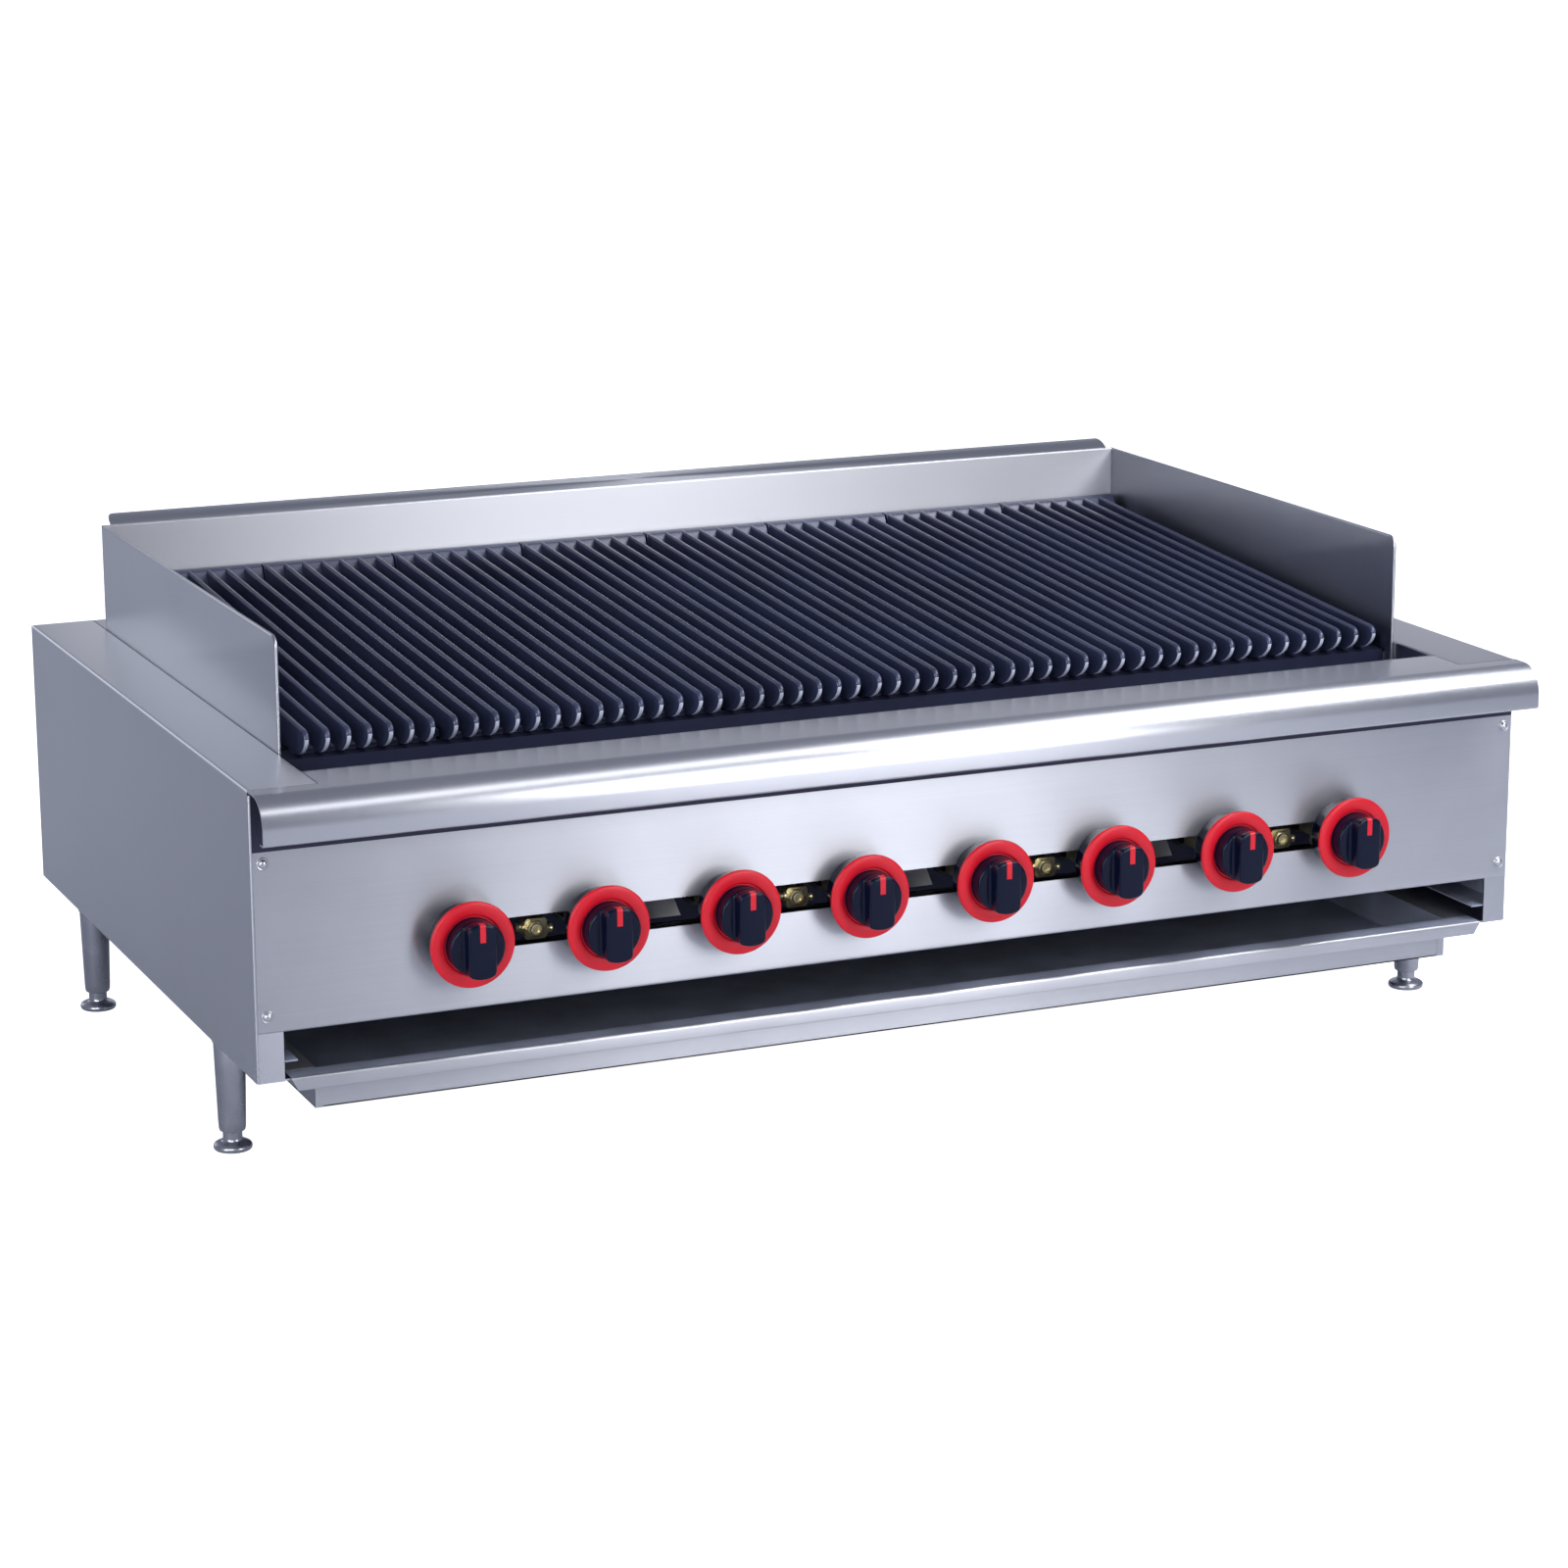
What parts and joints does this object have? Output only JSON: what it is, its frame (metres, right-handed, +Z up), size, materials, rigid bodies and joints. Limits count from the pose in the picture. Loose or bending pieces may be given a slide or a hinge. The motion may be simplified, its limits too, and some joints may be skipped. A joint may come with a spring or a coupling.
{
  "type": "countertop gas charbroiler",
  "caption": "Countertop gas charbroiler with sloped cast grates, splash guards on three sides, a row of round knobs, a pull-out drip tray and short adjustable legs.",
  "frame": {"origin": "on the floor under the middle of the overall footprint", "axes": "+X to the right seen from the front, +Y to the back, +Z up"},
  "size_m": [1.22, 0.805, 0.4644],
  "materials": {
    "stainless": "brushed stainless sheet, fine straight grain",
    "aluminised_steel": "dull heat-stained aluminised sheet",
    "plated_steel": "satin nickel-plated steel",
    "cast_iron": "seasoned dark cast iron, fine sand texture",
    "black_plastic": "glossy black moulded plastic with a red pointer line",
    "red_plastic": "satin red face, black flared side",
    "brass": "machined brass",
    "aluminium_tube": "drawn aluminium tube",
    "black_pipe": "black-coated steel pipe"
  },
  "bodies": {
    "cabinet": {"left_side_panel": "stainless", "right_side_panel": "stainless", "front_panel": "stainless", "front_ledge": "stainless", "back_panel": "stainless", "legs": "plated_steel", "tray_rails": "aluminised_steel", "splash_left": "stainless", "splash_right": "stainless", "splash_back": "stainless", "firebox_liner_left": "aluminised_steel", "firebox_liner_right": "aluminised_steel", "firebox_front": "aluminised_steel", "firebox_back": "aluminised_steel", "grease_gutter": "aluminised_steel", "grate_rail_front": "aluminised_steel", "grate_rail_rear": "aluminised_steel", "radiant_rail_front": "aluminised_steel", "radiant_rail_rear": "aluminised_steel", "burner_rail_rear": "aluminised_steel", "radiants": "aluminised_steel", "burner_1": "cast_iron", "burner_2": "cast_iron", "burner_3": "cast_iron", "burner_4": "cast_iron", "burner_5": "cast_iron", "burner_6": "cast_iron", "burner_7": "cast_iron", "burner_8": "cast_iron", "manifold_pipe": "black_pipe", "manifold_brackets": "aluminised_steel", "gas_valves": "brass", "pilot_valves": "brass", "pilot_tubes": "aluminium_tube", "slot_baffles": "aluminised_steel", "bezels": "red_plastic"},
    "foot_front_left": {"foot_front_left": "plated_steel"},
    "foot_front_right": {"foot_front_right": "plated_steel"},
    "foot_rear_left": {"foot_rear_left": "plated_steel"},
    "foot_rear_right": {"foot_rear_right": "plated_steel"},
    "drip_tray": {"drip_tray": "stainless"},
    "grate_1": {"grate_1": "cast_iron"},
    "grate_2": {"grate_2": "cast_iron"},
    "grate_3": {"grate_3": "cast_iron"},
    "grate_4": {"grate_4": "cast_iron"},
    "grate_5": {"grate_5": "cast_iron"},
    "grate_6": {"grate_6": "cast_iron"},
    "grate_7": {"grate_7": "cast_iron"},
    "grate_8": {"grate_8": "cast_iron"},
    "knob_1": {"knob_1": "black_plastic"},
    "knob_2": {"knob_2": "black_plastic"},
    "knob_3": {"knob_3": "black_plastic"},
    "knob_4": {"knob_4": "black_plastic"},
    "knob_5": {"knob_5": "black_plastic"},
    "knob_6": {"knob_6": "black_plastic"},
    "knob_7": {"knob_7": "black_plastic"},
    "knob_8": {"knob_8": "black_plastic"}
  },
  "joints": [
    {"name": "knob_1_turn", "type": "hinge", "parent": "cabinet", "child": "knob_1", "pos_m": [-0.427, -0.3525, 0.2078], "axis": [0, -1, 0], "range_deg": [0, 90]},
    {"name": "knob_2_turn", "type": "hinge", "parent": "cabinet", "child": "knob_2", "pos_m": [-0.305, -0.3525, 0.2078], "axis": [0, -1, 0], "range_deg": [0, 90]},
    {"name": "knob_3_turn", "type": "hinge", "parent": "cabinet", "child": "knob_3", "pos_m": [-0.183, -0.3525, 0.2078], "axis": [0, -1, 0], "range_deg": [0, 90]},
    {"name": "knob_4_turn", "type": "hinge", "parent": "cabinet", "child": "knob_4", "pos_m": [-0.061, -0.3525, 0.2078], "axis": [0, -1, 0], "range_deg": [0, 90]},
    {"name": "knob_5_turn", "type": "hinge", "parent": "cabinet", "child": "knob_5", "pos_m": [0.061, -0.3525, 0.2078], "axis": [0, -1, 0], "range_deg": [0, 90]},
    {"name": "knob_6_turn", "type": "hinge", "parent": "cabinet", "child": "knob_6", "pos_m": [0.183, -0.3525, 0.2078], "axis": [0, -1, 0], "range_deg": [0, 90]},
    {"name": "knob_7_turn", "type": "hinge", "parent": "cabinet", "child": "knob_7", "pos_m": [0.305, -0.3525, 0.2078], "axis": [0, -1, 0], "range_deg": [0, 90]},
    {"name": "knob_8_turn", "type": "hinge", "parent": "cabinet", "child": "knob_8", "pos_m": [0.427, -0.3525, 0.2078], "axis": [0, -1, 0], "range_deg": [0, 90]},
    {"name": "drip_tray_slide", "type": "slide", "parent": "cabinet", "child": "drip_tray", "axis": [0, -1, 0], "range_m": [0, 0.45]},
    {"name": "grate_1_lift", "type": "slide", "parent": "cabinet", "child": "grate_1", "axis": [0, 0, 1], "range_m": [0, 0.15]},
    {"name": "grate_2_lift", "type": "slide", "parent": "cabinet", "child": "grate_2", "axis": [0, 0, 1], "range_m": [0, 0.15]},
    {"name": "grate_3_lift", "type": "slide", "parent": "cabinet", "child": "grate_3", "axis": [0, 0, 1], "range_m": [0, 0.15]},
    {"name": "grate_4_lift", "type": "slide", "parent": "cabinet", "child": "grate_4", "axis": [0, 0, 1], "range_m": [0, 0.15]},
    {"name": "grate_5_lift", "type": "slide", "parent": "cabinet", "child": "grate_5", "axis": [0, 0, 1], "range_m": [0, 0.15]},
    {"name": "grate_6_lift", "type": "slide", "parent": "cabinet", "child": "grate_6", "axis": [0, 0, 1], "range_m": [0, 0.15]},
    {"name": "grate_7_lift", "type": "slide", "parent": "cabinet", "child": "grate_7", "axis": [0, 0, 1], "range_m": [0, 0.15]},
    {"name": "grate_8_lift", "type": "slide", "parent": "cabinet", "child": "grate_8", "axis": [0, 0, 1], "range_m": [0, 0.15]},
    {"name": "foot_front_left_adjust", "type": "slide", "parent": "cabinet", "child": "foot_front_left", "axis": [0, 0, -1], "range_m": [0, 0.02]},
    {"name": "foot_front_right_adjust", "type": "slide", "parent": "cabinet", "child": "foot_front_right", "axis": [0, 0, -1], "range_m": [0, 0.02]},
    {"name": "foot_rear_left_adjust", "type": "slide", "parent": "cabinet", "child": "foot_rear_left", "axis": [0, 0, -1], "range_m": [0, 0.02]},
    {"name": "foot_rear_right_adjust", "type": "slide", "parent": "cabinet", "child": "foot_rear_right", "axis": [0, 0, -1], "range_m": [0, 0.02]}
  ]
}
